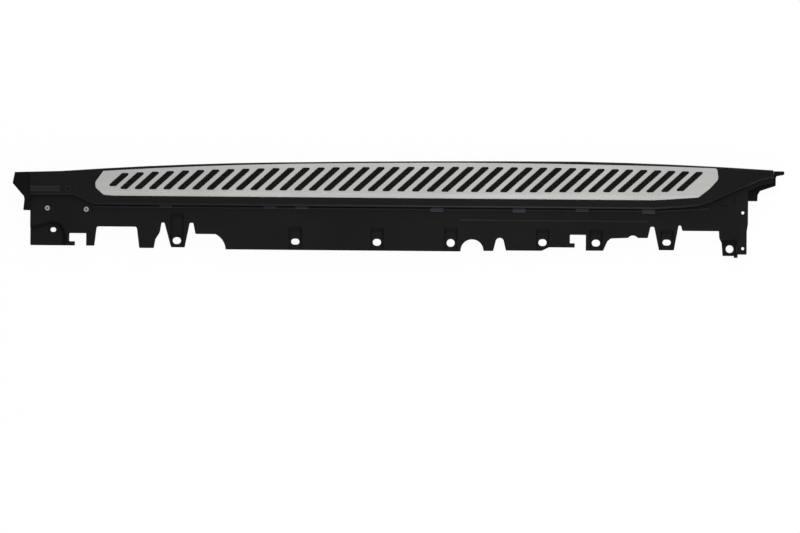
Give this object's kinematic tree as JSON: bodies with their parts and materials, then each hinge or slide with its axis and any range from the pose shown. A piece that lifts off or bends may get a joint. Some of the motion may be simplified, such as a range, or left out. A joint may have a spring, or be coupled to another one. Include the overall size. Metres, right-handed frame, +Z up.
{
  "type": "side step",
  "caption": "Long hollow step for a car's sill: black moulding with a slotted satin tread in a swept plan, and a notched, dished sill panel along its inner edge.",
  "frame": {"origin": "middle of the board's length and width, on the plane it stands on", "axes": "+X along the board to the front of the car, +Y away from the car, +Z up"},
  "size_m": [2.0608, 0.2536, 0.061],
  "materials": {
    "step_plastic": "fine grain",
    "tread_metal": "satin, brushed along",
    "mat_rubber": "matt",
    "beam_metal": "as drawn",
    "clip_steel": "phosphated",
    "screw_steel": "bright",
    "zinc_steel": "zinc plated"
  },
  "bodies": {
    "root": {"step_shell": "step_plastic", "sill_panel": "step_plastic", "rear_end_cap": "step_plastic", "front_end_cap": "step_plastic", "under_cover": "step_plastic", "beam_plug_rear": "step_plastic", "beam_plug_front": "step_plastic", "tread_plate": "tread_metal", "tread_mat": "mat_rubber", "support_beam": "beam_metal", "seam_clips": "clip_steel", "rear_screws": "screw_steel", "rear_washers": "screw_steel", "rear_nuts": "screw_steel", "weld_nuts": "zinc_steel", "bracket_bolts": "zinc_steel", "plate_washers": "zinc_steel", "plate_nuts": "zinc_steel", "cover_screws": "zinc_steel", "cap_screws": "zinc_steel", "deck_screws": "zinc_steel", "rivet_nuts": "zinc_steel", "bracket_plate_1": "zinc_steel", "bracket_plate_2": "zinc_steel", "bracket_plate_3": "zinc_steel", "bracket_plate_4": "zinc_steel"}
  },
  "joints": []
}
